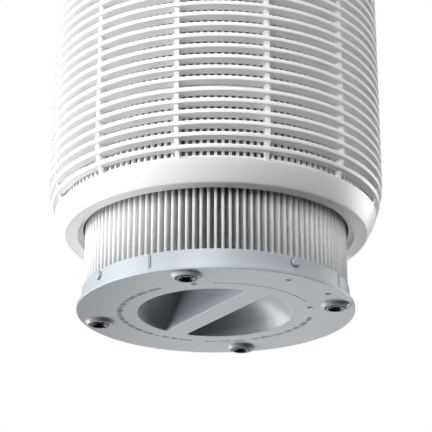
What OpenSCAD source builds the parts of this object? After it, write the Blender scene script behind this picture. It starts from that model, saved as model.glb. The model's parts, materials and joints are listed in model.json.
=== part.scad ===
// Round column air purifier, with its filter cartridge drawn partly out of the bottom.
// The rest pose has the cartridge pull_out below the housing, unlocked, standing on its four feet.
// Millimetres, +Z up, the origin on the floor under the middle of the column, the front at -Y.

/* [Housing] */
// Outside diameter of the column
body_d = 220; // [200:1:240]
// Height of the housing, without the feet
body_h = 354.4; // [345:0.1:380]
// Wall of the smooth upper shell
shell_wall = 3; // [2.5:0.1:3.4]
// Radius of the long curve at the foot of the housing
foot_curve_r = 68; // [62:1:74]
// Height at which that curve meets the straight wall
foot_curve_h = 37.5; // [34:0.5:40]
// Radius of the top edge
top_edge_r = 14; // [11:0.5:16]

/* [Air intake] */
// Number of slots up the intake
slot_count = 26; // [20:1:26]
// Distance from one slot to the next
slot_pitch = 7.34; // [7:0.01:7.34]
// Height of one slot
slot_h = 4.7; // [3.8:0.1:5.2]
// Height of the lowest slot above the bottom of the housing
first_slot_z = 14.2; // [13.6:0.1:15]
// How much further down the lowest slot reaches than that
low_slot_extra = 0.9; // [0:0.1:1]
// Upright ribs that tie the slats together
rib_count = 12; // [8:1:16]
// Direction of the first rib, from the front towards +X
rib_turn = 17.2; // [0:0.1:30]
// Width of one rib
rib_w = 3.4; // [2.6:0.1:4]
// Bars of the screen behind the slats
screen_bars = 144; // [96:12:144]

/* [Filter cartridge] */
// How far the cartridge is drawn out at rest
pull_out = 51; // [20:1:80]
// Radius over the pleat tips
pleat_r = 85.3; // [84:0.1:85.4]
// Number of pleats
pleat_count = 120; // [80:1:140]
// Radial depth of a pleat
pleat_depth = 27; // [20:0.5:27]
// Height of the pleated pack
pleat_h = 179.2; // [160:0.1:179.2]

/* [Base cover] */
// Radius of the flange that closes the housing
flange_r = 89.6; // [88.5:0.1:89.8]
// Radius of the rim that holds the filter
rim_r = 86.4; // [86:0.1:86.5]
// Height of the rim above the bottom face
rim_top = 13.6; // [13:0.1:14]
// Radius of the grip bowl at its mouth
bowl_r = 50.5; // [46:0.5:50.5]
// Depth of the grip bowl
bowl_depth = 25; // [18:0.5:25]
// Width of the grip bar across the bowl
bar_w = 15.6; // [12:0.2:20]
// Direction of the grip bar, from the front towards +X
bar_turn = 31.8; // [0:0.1:90]
// Direction of the first locking pin
pin_turn = 33.5; // [30:0.5:36]
// Direction of the first foot
foot_turn = -13; // [-20:0.5:-5]
// Distance of the feet from the middle
foot_ring_r = 78; // [74:0.5:79]
// How far the feet stand out below the cover
foot_h = 2.6; // [2.4:0.1:4]
// Turn between open and locked
lock_turn = 30; // [20:1:34]

/* [Fan] */
// Radius over the impeller blades
impeller_r = 78; // [70:1:80]
// Number of impeller blades
blade_count = 9; // [7:1:13]
// Number of guide vanes after the impeller
vane_count = 11; // [9:1:15]

/* [Top] */
// Vanes of the air outlet
outlet_vanes = 60; // [36:2:60]
// Radius of the control pod
pod_r = 46.1; // [42:0.1:46.1]
// Travel of a key
key_travel = 1; // [0.6:0.1:1.1]

/* [Hidden] */
$fn = 96;
FRONT = -90;                      // the direction of the front, in the row's own polar angle
body_r = body_d / 2;
slot_end = first_slot_z + (slot_count - 1) * slot_pitch + slot_h;   // top of the highest slot
slat_in_r = 102.5;                // inner edge of the slats
mouth_r = 90.3;                   // opening that the flange closes
lip_t = 3;                        // thickness of the face round the opening
shell_split = 206;                // the lower shell ends here
deck_z = 204.3;                   // underside of the fan deck
deck_t = 3.5;
deck_screw_r = 96;
throat_r = 57;                    // air inlet of the fan
duct_r = 92;                      // inside of the fan duct
duct_top = 300;
plate_z = 262;                    // plate that the motor hangs from
plate_t = 3;
drum_r = 82;
shaft_r = 3;
running_gap = 0.03;
can_r = 27.5;
can_z = 236.5;
grille_z = 340.5;                 // underside of the outlet vanes
lens_z = 350.1;
key_r = 5.7;
key_ring_r = 26;                  // distance of the keys from the middle
key_turns = [-38, 0, 38];
board_top = 337.6;                // face of the control board
media_z = 13.8;                   // bottom of the pleats, above the cover's bottom face
media_top = media_z + pleat_h;
cap_t = 4;
cap_bore_r = 52;
collar_r = cap_bore_r - 0.05;        // the cover swivels on this collar
ball_r = (bowl_r * bowl_r + bowl_depth * bowl_depth) / (2 * bowl_depth);
ball_z = bowl_depth - ball_r;     // middle of the ball that makes the bowl
pin_z = 9.6;
pin_r = 2.4;
pin_reach = 88.4;
bore_r = 86.9;                    // bore of the bayonet ring
track_r = 89;
inlet_turn = 180;                 // the power inlet is at the back
inlet_z = 224;
sensor_turn = 150;
sensor_z = 290;
overcut = 1;                      // how far a cutter runs past a face

// ---- helpers ----

// Moves its children from the housing's own frame, whose bottom is at 0, to the row frame.
module on_housing() { translate([0, 0, foot_h + pull_out]) children(); }

// Moves its children from the cartridge's frame, where 0 is the cover's bottom face, to the row frame.
module on_cartridge() { translate([0, 0, foot_h]) children(); }

// Turns its children about the column, from the front towards +X.
module turned(degrees) { rotate([0, 0, FRONT + degrees]) children(); }

// A ring of revolution between two radii and two heights.
module ring(r_in, r_out, z0, z1) {
    rotate_extrude() translate([r_in, z0]) square([r_out - r_in, z1 - z0]);
}

// A machine screw pointing down from its head's underside at z.
module screw(z, length, r = 1.4, head_r = 2.7, head_t = 1.8) {
    difference() {
        union() {
            translate([0, 0, z]) cylinder(r = head_r, h = head_t);
            translate([0, 0, z - length]) cylinder(r = r, h = length + 0.1);
        }
        for (a = [0, 90]) rotate([0, 0, a])
            translate([-head_r * 0.6, -0.35, z + head_t - 1]) cube([head_r * 1.2, 0.7, 2]);
    }
}

// The outline of the whole housing, as a half section.
module body_outline() {
    translate([0, foot_curve_h]) square([body_r, body_h - top_edge_r - foot_curve_h]);
    intersection() {
        translate([body_r - foot_curve_r, foot_curve_h]) circle(r = foot_curve_r);
        square([body_r, foot_curve_h]);
    }
    translate([0, body_h - top_edge_r]) square([body_r - top_edge_r, top_edge_r]);
    intersection() {
        translate([body_r - top_edge_r, body_h - top_edge_r]) circle(r = top_edge_r);
        translate([body_r - top_edge_r, body_h - top_edge_r]) square(top_edge_r);
    }
}

// The same outline drawn in by d, for the foot of the housing only.
module foot_outline(d) {
    intersection() {
        translate([body_r - foot_curve_r, foot_curve_h]) circle(r = foot_curve_r - d);
        square([body_r, foot_curve_h]);
    }
    translate([0, foot_curve_h]) square([body_r - d, shell_split - foot_curve_h]);
}

// ---- housing ----

module rib_section() {
    difference() {
        foot_outline(2);
        square([slat_in_r + 0.1, shell_split]);
        square([body_r, 12]);
        translate([0, shell_split - 1]) square([body_r, 2]);
    }
}

module intake_shell() {
    color("white") on_housing() union() {
        rotate_extrude() difference() {
            intersection() {
                body_outline();
                square([body_r, shell_split]);
            }
            translate([0, -overcut]) square([mouth_r, lip_t + overcut + 0.1]);
            translate([0, lip_t]) square([97, 6.1]);
            translate([0, lip_t + 6]) square([slat_in_r, shell_split]);
            for (k = [0 : slot_count - 1]) translate([slat_in_r - overcut, first_slot_z + k * slot_pitch])
                square([body_r, slot_h]);
            translate([slat_in_r - overcut, first_slot_z - low_slot_extra]) square([body_r, slot_h]);
        }
        ring(105, 106.6, shell_split - 0.5, shell_split + 5);
        for (k = [0 : rib_count - 1]) turned(rib_turn + k * 360 / rib_count)
            rotate([90, 0, 0]) translate([0, 0, -rib_w / 2]) linear_extrude(rib_w) rib_section();
    }
}

module sensor_vent() {
    for (k = [-2 : 2]) turned(sensor_turn)
        translate([body_r - 8, -12, sensor_z + k * 4 - 0.9]) cube([12, 24, 1.8]);
}

module upper_shell() {
    inner_r = body_r - shell_wall;
    color("white") on_housing() difference() {
        rotate_extrude() difference() {
            body_outline();
            square([body_r + overcut, shell_split + 0.4]);
            polygon([[0, shell_split], [inner_r, shell_split], [inner_r, 336], [99.5, 343.5],
                [99.5, 348.5], [97.5, 348.5], [97.5, body_h + overcut], [0, body_h + overcut]]);
        }
        turned(inlet_turn) translate([body_r - 6, 0, inlet_z]) rotate([0, 90, 0]) cylinder(r = 6.2, h = 10);
        sensor_vent();
    }
}

module prefilter_screen() {
    bar_w_screen = 1.9;
    r_in = 98.6;
    r_out = 100.4;
    z0 = 15.1;
    z1 = deck_z - 0.1;
    hoops = 5;
    hoop_h = 1.5;
    color("whitesmoke") on_housing() union() {
        translate([0, 0, z0]) linear_extrude(z1 - z0)
            for (k = [0 : screen_bars - 1]) rotate(k * 360 / screen_bars)
                translate([r_in + 0.1, -bar_w_screen / 2]) square([r_out - r_in - 0.2, bar_w_screen]);
        for (k = [0 : hoops - 1]) ring(r_in, r_out, z0 + k * (z1 - z0 - hoop_h) / (hoops - 1),
            z0 + k * (z1 - z0 - hoop_h) / (hoops - 1) + hoop_h);
    }
}

// One L-shaped track: in from below, then round to the locked place.
module bayonet_track() {
    w = pin_r + 0.8;
    half_turn = asin(w / track_r);
    translate([bore_r - 2, -w, lip_t - overcut])
        cube([track_r + 0.4 - bore_r + 2, 2 * w, pin_z + w + 0.3 - lip_t + overcut]);
    rotate_extrude(angle = lock_turn + half_turn)
        translate([bore_r - 2, pin_z - w]) square([track_r - bore_r + 2, 2 * w]);
}

module bayonet_ring() {
    color("gainsboro") on_housing() difference() {
        union() {
            ring(bore_r, 96.8, lip_t + 0.2, 12);
            ring(bore_r, 101.2, 9.3, 15);
        }
        for (k = [0 : 3]) turned(pin_turn + k * 90) bayonet_track();
    }
}

// ---- fan ----

module fan_deck() {
    color("gainsboro") on_housing() difference() {
        rotate_extrude() {
            translate([65, deck_z]) square([101.2 - 65, deck_t]);
            translate([95, shell_split + 0.05]) square([104.8 - 95, deck_z + deck_t - shell_split - 0.05]);
            difference() {
                translate([65, deck_z + 8]) circle(r = 8);
                translate([65, deck_z + 8]) circle(r = 5.2);
                translate([50, deck_z + 8]) square([30, 10]);
                translate([65, deck_z - overcut]) square([10, 20]);
            }
        }
        for (k = [0 : 5]) turned(k * 60) translate([deck_screw_r, 0, deck_z - overcut]) cylinder(r = 1.5, h = 8);
    }
}

module inlet_guard() {
    color("gainsboro") on_housing() union() {
        for (r = [12, 27, 42]) ring(r, r + 1.6, deck_z + 8, deck_z + 10);
        ring(54.6, 56.8, deck_z + 8, deck_z + 10);
        for (k = [0 : 5]) turned(k * 60 + 30)
            translate([12.8, -0.9, deck_z + 8]) cube([42.5, 1.8, 2]);
    }
}

module fan_duct() {
    color("lightgray") on_housing() difference() {
        union() {
            ring(duct_r, duct_r + 2.5, deck_z + deck_t, duct_top);
            ring(duct_r, 100.5, deck_z + deck_t, deck_z + deck_t + 3);
        }
        for (k = [0 : 5]) turned(k * 60) translate([deck_screw_r, 0, deck_z]) cylinder(r = 1.4, h = 6.3);
    }
}

module guide_vanes() {
    color("lightgray") on_housing() intersection() {
        ring(drum_r + 0.05, duct_r - 0.05, plate_z, duct_top);
        for (k = [0 : vane_count - 1]) turned(k * 360 / vane_count)
            translate([drum_r - 1, 0, plate_z + 2]) rotate([-18, 0, 0])
                translate([0, -1.1, 0]) cube([duct_r - drum_r + 2, 2.2, 34]);
    }
}

module electronics_drum() {
    color("lightgray") on_housing() difference() {
        union() {
            ring(drum_r - 2.5, drum_r, plate_z, duct_top);
            translate([0, 0, plate_z]) cylinder(r = drum_r - 0.5, h = plate_t);
            for (k = [0 : 3]) turned(45 + k * 90) translate([60, 0, plate_z + 1]) cylinder(r = 3.5, h = 9);
        }
        for (k = [0 : 2]) turned(k * 120) translate([18, 0, plate_z - overcut]) cylinder(r = 1.5, h = 6);
        for (k = [0 : 3]) turned(45 + k * 90) translate([60, 0, plate_z + 5]) cylinder(r = 1.4, h = 8);
    }
}

module duct_screws() {
    color("silver") on_housing() for (k = [0 : 5]) turned(k * 60)
        translate([deck_screw_r, 0, deck_z]) mirror([0, 0, 1]) screw(0, 6, r = 1.35, head_r = 2.4);
}

module bay_lid() {
    color("lightgray") on_housing() union() {
        translate([0, 0, duct_top + 0.05]) cylinder(r = drum_r, h = 2);
        ring(drum_r - 4.6, drum_r - 2.8, duct_top - 4, duct_top + 1);
        translate([0, 0, duct_top + 2]) cylinder(r1 = drum_r - 6, r2 = 46, h = 9);
    }
}

// ---- motor and impeller ----

module motor_can() {
    color("silver") on_housing() difference() {
        translate([0, 0, can_z]) cylinder(r = can_r, h = plate_z - can_z);
        difference() {
            translate([0, 0, can_z + 2]) cylinder(r = can_r - 1.5, h = plate_z - can_z - 4);
            translate([0, 0, can_z]) cylinder(r = 10.5, h = 6.5);
            translate([0, 0, plate_z - 6.5]) cylinder(r = 10.5, h = 6.5);
        }
        translate([0, 0, can_z + 2.5]) cylinder(r = 8.02, h = 5);
        translate([0, 0, plate_z - 7]) cylinder(r = 8.02, h = 4.5);
        translate([0, 0, can_z - overcut]) cylinder(r = 4, h = 6);
        for (k = [0 : 2]) turned(k * 120) translate([18, 0, plate_z - 3]) cylinder(r = 1.45, h = 4);
    }
}

module motor_stator() {
    color("peru") on_housing() translate([0, 0, can_z + 7]) difference() {
        cylinder(r = can_r - 1.7, h = 11.5);
        translate([0, 0, -overcut]) cylinder(r = 17.2, h = 14);
        for (k = [0 : 8]) rotate([0, 0, k * 40]) translate([16, -1.2, -overcut]) cube([6.5, 2.4, 14]);
    }
}

module motor_bearings() {
    color("gray") on_housing() for (z = [can_z + 2.6, plate_z - 6.9])
        ring(shaft_r + running_gap, 8, z, z + 4);
}

module motor_screws() {
    color("silver") on_housing() for (k = [0 : 2]) turned(k * 120) translate([18, 0, 0])
        screw(plate_z + plate_t, 5.8, r = 1.4);
}

module motor_shaft() {
    color("gray") on_housing() translate([0, 0, 221]) cylinder(r = shaft_r, h = plate_z - 2.6 - 221);
}

module motor_rotor() {
    color("dimgray") on_housing() ring(shaft_r + 0.02, 16.4, can_z + 7.2, can_z + 18);
}

module blade() {
    curve_r = 62;
    difference() {
        intersection() {
            translate([28, curve_r - 12]) circle(r = curve_r);
            difference() { circle(r = impeller_r - 0.5); circle(r = 42); }
            translate([0, -60]) square([impeller_r, 80]);
        }
        translate([28, curve_r - 12]) circle(r = curve_r - 2);
    }
}

module impeller() {
    blade_z0 = 216;
    plate = 254;
    color("dimgray") on_housing() union() {
        difference() {
            union() {
                translate([0, 0, plate]) cylinder(r = impeller_r, h = 2);
                translate([0, 0, 228]) cylinder(r1 = 32, r2 = 34, h = plate - 228 + 1);
            }
            translate([0, 0, 234]) cylinder(r = can_r + 2, h = 30);
            translate([0, 0, 220]) cylinder(r = shaft_r + 0.02, h = 30);
        }
        rotate_extrude() polygon([[61, 213.6], [63, 213.6], [impeller_r, blade_z0 + 7.5],
            [impeller_r, blade_z0 + 9.5], [62.5, blade_z0], [61, blade_z0]]);
        difference() {
            translate([0, 0, blade_z0 - 1]) linear_extrude(plate - blade_z0 + 1.5)
                for (k = [0 : blade_count - 1]) rotate(k * 360 / blade_count) blade();
            rotate_extrude() polygon([[30, blade_z0 - 6], [impeller_r + 5, blade_z0 - 6],
                [impeller_r + 5, blade_z0 + 9.5], [impeller_r, blade_z0 + 8.5], [62.5, blade_z0 - 0.5], [30, blade_z0]]);
        }
    }
}

module impeller_nut() {
    color("silver") on_housing() translate([0, 0, 223.5]) difference() {
        cylinder(r = 6, h = 4.4, $fn = 6);
        translate([0, 0, -overcut]) cylinder(r = shaft_r + 0.02, h = 8);
    }
}

// ---- electronics ----

module main_board() {
    color("darkgreen") on_housing() translate([0, 0, plate_z + 10]) difference() {
        cylinder(r = 68, h = 1.6);
        for (k = [0 : 3]) turned(45 + k * 90) translate([60, 0, -overcut]) cylinder(r = 1.6, h = 4);
        translate([0, 0, -overcut]) cylinder(r = 8, h = 4);
    }
}

module board_parts() {
    z = plate_z + 11.65;
    color("black") on_housing() {
        for (p = [[-30, 18, 8, 16], [-12, 26, 6, 14], [34, -18, 5, 11], [22, -32, 5, 11]])
            translate([p[0], p[1], z]) cylinder(r = p[2], h = p[3]);
        translate([14, 14, z]) cube([22, 16, 12]);
        translate([-40, -28, z]) cube([18, 26, 5]);
        translate([-8, -44, z]) cube([16, 9, 7]);
    }
}

module board_screws() {
    color("silver") on_housing() for (k = [0 : 3]) turned(45 + k * 90) translate([60, 0, 0])
        screw(plate_z + 11.65, 6, r = 1.35);
}

module sensor_module() {
    color("black") on_housing() turned(sensor_turn) difference() {
        translate([95.2, -19, sensor_z - 19]) cube([9.8, 38, 38]);
        translate([98, -14, sensor_z - 12]) cube([10, 28, 24]);
    }
}

module power_inlet() {
    color("black") on_housing() turned(inlet_turn) translate([0, 0, inlet_z]) rotate([0, 90, 0]) difference() {
        union() {
            translate([0, 0, 95.2]) cylinder(r = 7.4, h = 11);
            translate([0, 0, 100]) cylinder(r = 6, h = 9.4);
        }
        translate([0, 0, 98.2]) cylinder(r = 2.9, h = 20);
    }
}

module inlet_pin() {
    color("gold") on_housing() turned(inlet_turn) translate([98.2, 0, inlet_z]) rotate([0, 90, 0]) {
        cylinder(r = 1.05, h = 8.5);
    }
}

// ---- top ----

module outlet_grille() {
    color("white") on_housing() union() {
        ring(95.5, 99.2, grille_z + 3, 348.3);
        ring(95.5, 97.5, grille_z, grille_z + 4);
        ring(pod_r + 0.3, 49, grille_z - 4, 348.2);
        for (r = [64, 80]) ring(r, r + 1.4, grille_z + 1, 346.5);
        for (k = [0 : outlet_vanes - 1]) rotate([0, 0, k * 360 / outlet_vanes])
            translate([48, -0.8, grille_z]) cube([48.3, 1.6, 7]);
    }
}

module control_pod() {
    color("white") on_housing() difference() {
        union() {
            translate([0, 0, 322]) cylinder(r = pod_r, h = 27);
            ring(pod_r - 2, 48.2, 348.4, 350);
        }
        translate([0, 0, 324]) cylinder(r = pod_r - 2.4, h = 30);
    }
    color("white") on_housing() for (k = [0 : 2]) turned(k * 120 + 60)
        translate([34, 0, 324]) cylinder(r = 3, h = board_top - 1.6 - 324);
}

module key_holes(r) {
    for (a = key_turns) turned(a) translate([key_ring_r, 0, 300]) cylinder(r = r, h = 80);
}

module display_lens() {
    color("black") on_housing() difference() {
        translate([0, 0, lens_z]) cylinder(r = pod_r - 0.4, h = 1.9);
        key_holes(key_r + 0.3);
    }
}

module light_ring() {
    color("aliceblue") on_housing() ring(pod_r - 0.3, 48, lens_z, lens_z + 1.4);
}

module control_board() {
    color("darkgreen") on_housing() difference() {
        translate([0, 0, board_top - 1.6]) cylinder(r = 41, h = 1.6);
        translate([0, 18, board_top - 3]) cylinder(r = 4, h = 6);
    }
}

module key_switches() {
    color("dimgray") on_housing() for (a = key_turns) turned(a) translate([key_ring_r, 0, board_top + 0.02]) {
        translate([-3, -3, 0]) cube([6, 6, 3.5]);
        cylinder(r = 1.7, h = 4);
    }
}

module key(a) {
    color("gainsboro") on_housing() turned(a) translate([key_ring_r, 0, 0]) union() {
        translate([0, 0, 344]) cylinder(r = key_r, h = 352.7 - 344);
        translate([0, 0, 347.6]) cylinder(r = key_r + 1.4, h = 1.6);
        translate([0, 0, board_top + 4.2 + key_travel]) cylinder(r = 2.6, h = 3);
    }
}

module power_key() { key(key_turns[1]); }
module speed_key() { key(key_turns[2]); }
module mode_key() { key(key_turns[0]); }

// ---- filter cartridge ----

// The zigzag of paper seen from above: each pleat runs out to a narrow tip and back to a valley.
function fold(r_tip, r_valley, tip, valley) = [for (k = [0 : pleat_count - 1]) let (a = 360 / pleat_count)
    each [for (q = [[-tip, r_tip], [tip, r_tip], [1 - valley, r_valley], [1 + valley, r_valley]])
        [q[1] * cos((k + q[0] / 2) * a), q[1] * sin((k + q[0] / 2) * a)]]];

module filter_media() {
    color("whitesmoke") on_cartridge() translate([0, 0, media_z]) linear_extrude(pleat_h) difference() {
        polygon(fold(pleat_r, pleat_r - pleat_depth + 1, 0.38, 0.1));
        polygon(fold(pleat_r - 1, pleat_r - pleat_depth, 0.1, 0.38));
    }
}

module filter_net() {
    color("white") on_cartridge() ring(pleat_r + 0.05, pleat_r + 0.45, media_z, media_top);
}

module core_cage() {
    color("gainsboro") on_cartridge() difference() {
        ring(55.6, 57.9, media_z, media_top);
        for (k = [0 : 5], row = [0 : 3]) rotate([0, 0, k * 60])
            translate([50, -22, media_z + 6 + row * (pleat_h - 6) / 4]) cube([12, 44, (pleat_h - 6) / 4 - 6]);
    }
}

module carbon_sleeve() {
    color("black") on_cartridge() ring(52, 55.4, media_z + 2.2, media_top - 0.1);
}

module top_cap() {
    color("gainsboro") on_cartridge() union() {
        ring(52, 86, media_top, media_top + cap_t);
    }
}

module top_gasket() {
    color("dimgray") on_cartridge() ring(63, 82, media_top + cap_t, deck_z - 0.4);
}

module bottom_cap() {
    color("gainsboro") on_cartridge() ring(cap_bore_r, 83.9, 9.4, media_z);
}

// ---- base cover ----

module foot_places() {
    for (k = [0 : 3]) turned(foot_turn + k * 90) translate([foot_ring_r, 0, 0]) children();
}

module grip_bar() {
    intersection() {
        turned(bar_turn) translate([-60, -bar_w / 2, 0]) cube([120, bar_w, 40]);
        translate([0, 0, ball_z]) sphere(r = ball_r + 1);
    }
}

module base_cover() {
    dome_t = 2.4;
    color("darkgray") on_cartridge() difference() {
        union() {
            difference() {
                union() {
                    rotate_extrude() polygon([[0, 0], [flange_r - 0.7, 0], [flange_r, 0.7], [flange_r, 3], [rim_r, 3],
                        [rim_r, rim_top], [84.2, rim_top], [84.2, 3], [0, 3]]);
                    rotate_extrude() polygon([[collar_r - 2.6, 2], [collar_r, 2], [collar_r, media_z + 0.2],
                        [collar_r + 1.4, media_z + 0.2], [collar_r + 0.9, media_z + 1.7],
                        [collar_r - 2.6, media_z + 1.7]]);
                    intersection() {
                        translate([0, 0, ball_z]) sphere(r = ball_r + dome_t);
                        translate([0, 0, 0.5]) cylinder(r = 60, h = 40);
                    }
                }
                translate([0, 0, ball_z]) sphere(r = ball_r);
            }
            grip_bar();
            foot_places() {
                translate([0, 0, -2]) cylinder(r1 = 7.8, r2 = 10.2, h = 2.05);
                translate([0, 0, 1]) cylinder(r = 4.5, h = 8);
            }
            for (k = [0 : 3]) turned(pin_turn + k * 90) translate([85, 0, pin_z]) rotate([0, 90, 0])
                cylinder(r = pin_r, h = pin_reach - 85);
        }
        foot_places() {
            translate([0, 0, -3]) cylinder(r = 6.7, h = 4.6);
            translate([0, 0, 0]) cylinder(r = 1.3, h = 8);
        }
        for (k = [0 : 3]) turned(pin_turn - 61 + k * 90)
            translate([rim_r - 0.7, -0.5, 3.6]) cube([2, 1, 12]);
    }
}

module foot_pad(k) {
    color("black") on_cartridge() turned(foot_turn + k * 90) translate([foot_ring_r, 0, 0]) difference() {
        translate([0, 0, -foot_h]) cylinder(r = 6.5, h = foot_h + 1.55);
        translate([0, 0, -foot_h - overcut]) cylinder(r = 3.4, h = 8);
    }
}

module foot_pad_1() { foot_pad(0); }
module foot_pad_2() { foot_pad(1); }
module foot_pad_3() { foot_pad(2); }
module foot_pad_4() { foot_pad(3); }

module foot_screws() {
    color("silver") on_cartridge() foot_places()
        translate([0, 0, 1.55]) mirror([0, 0, 1]) screw(0, 6, r = 1.25, head_r = 3, head_t = 1.9);
}

intake_shell();
upper_shell();
prefilter_screen();
bayonet_ring();
fan_deck();
inlet_guard();
fan_duct();
guide_vanes();
electronics_drum();
duct_screws();
bay_lid();
motor_can();
motor_stator();
motor_bearings();
motor_screws();
motor_shaft();
motor_rotor();
impeller();
impeller_nut();
main_board();
board_parts();
board_screws();
sensor_module();
power_inlet();
inlet_pin();
outlet_grille();
control_pod();
display_lens();
light_ring();
control_board();
key_switches();
power_key();
speed_key();
mode_key();
filter_media();
filter_net();
core_cage();
carbon_sleeve();
top_cap();
top_gasket();
bottom_cap();
base_cover();
foot_pad_1();
foot_pad_2();
foot_pad_3();
foot_pad_4();
foot_screws();
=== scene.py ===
"""Round column air purifier with its filter cartridge drawn partly out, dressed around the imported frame."""

import json
import logging
import math
import random
from dataclasses import dataclass, field
from enum import Enum
from typing import Any, Callable, Iterable, Optional, Sequence, Union

import bmesh
import bpy
from mathutils import Matrix, Vector

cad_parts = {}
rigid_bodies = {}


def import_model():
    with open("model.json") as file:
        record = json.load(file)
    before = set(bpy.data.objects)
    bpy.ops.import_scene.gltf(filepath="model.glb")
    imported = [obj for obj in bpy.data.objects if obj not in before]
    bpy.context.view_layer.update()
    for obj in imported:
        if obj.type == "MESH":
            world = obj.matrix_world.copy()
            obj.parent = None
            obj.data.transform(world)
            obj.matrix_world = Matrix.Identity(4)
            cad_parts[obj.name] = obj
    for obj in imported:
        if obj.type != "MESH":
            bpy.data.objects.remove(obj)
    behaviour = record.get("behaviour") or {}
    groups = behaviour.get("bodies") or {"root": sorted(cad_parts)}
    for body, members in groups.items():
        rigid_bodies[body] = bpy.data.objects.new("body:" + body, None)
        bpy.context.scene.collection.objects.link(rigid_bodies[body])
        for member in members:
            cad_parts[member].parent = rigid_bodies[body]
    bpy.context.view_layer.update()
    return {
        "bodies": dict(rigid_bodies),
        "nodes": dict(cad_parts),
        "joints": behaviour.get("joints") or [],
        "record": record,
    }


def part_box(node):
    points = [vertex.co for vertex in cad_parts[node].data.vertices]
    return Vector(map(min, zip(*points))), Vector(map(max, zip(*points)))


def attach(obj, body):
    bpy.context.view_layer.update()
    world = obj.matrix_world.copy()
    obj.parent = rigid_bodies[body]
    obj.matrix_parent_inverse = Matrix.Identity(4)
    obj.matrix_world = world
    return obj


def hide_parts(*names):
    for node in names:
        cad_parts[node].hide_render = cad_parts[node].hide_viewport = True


log = logging.getLogger("air_purifier")
MM = 0.001
FRONT = math.radians(-90.0)
BMesh = bmesh.types.BMesh
BMEdge = bmesh.types.BMEdge
BMVert = bmesh.types.BMVert


class Body(Enum):
    """The rigid bodies that pieces ride on."""

    HOUSING = "housing"
    FAN = "fan"
    POWER = "power_button"
    SPEED = "speed_button"
    MODE = "mode_button"
    CARTRIDGE = "cartridge"
    COVER = "cover"


# ---- shader toolkit

Number = Union[int, float]


def operator(operation: str, swapped: bool = False) -> Callable:
    """An arithmetic method of Signal that adds one Math node.

    Args:
        operation: the node's operation.
        swapped: whether the signal is the second value.

    Returns:
        The method.
    """
    def apply(self: "Signal", other: Any) -> "Signal":
        """Adds the node over the signal and the other value."""
        return self._math(operation, other, self) if swapped else self._math(operation, self, other)
    return apply


class Signal:
    """One output socket, with arithmetic that adds Math nodes."""

    def __init__(self, recipe: "Recipe", socket: Any) -> None:
        """Keeps the material being built and the socket this stands for."""
        self.recipe = recipe
        self.socket = socket

    def _math(self, operation: str, *values: Any, clamp: bool = False) -> "Signal":
        """Adds a Math node over the values and returns its output."""
        inputs = {i: v for i, v in enumerate(values)}
        return self.recipe.node("ShaderNodeMath", {"operation": operation, "use_clamp": clamp}, inputs)

    __add__ = operator("ADD")
    __radd__ = operator("ADD", swapped=True)
    __sub__ = operator("SUBTRACT")
    __rsub__ = operator("SUBTRACT", swapped=True)
    __mul__ = operator("MULTIPLY")
    __truediv__ = operator("DIVIDE")
    __gt__ = operator("GREATER_THAN")
    __lt__ = operator("LESS_THAN")

    def clamped(self) -> "Signal":
        """self held between 0 and 1."""
        return self._math("ADD", self, 0.0, clamp=True)

    def larger(self, other: Any) -> "Signal":
        """The larger of self and other."""
        return self._math("MAXIMUM", self, other)

    def power(self, exponent: Number) -> "Signal":
        """self to a power."""
        return self._math("POWER", self, exponent)

    def turn_from(self, other: Any) -> "Signal":
        """The angle, in radians, of the point that lies self up and other along."""
        return self._math("ARCTAN2", self, other)

    def wave(self, pitch: Number) -> "Signal":
        """A triangle wave from 0 to 1 that repeats every pitch."""
        return self._math("PINGPONG", self, pitch / 2) * (2.0 / pitch)


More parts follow.
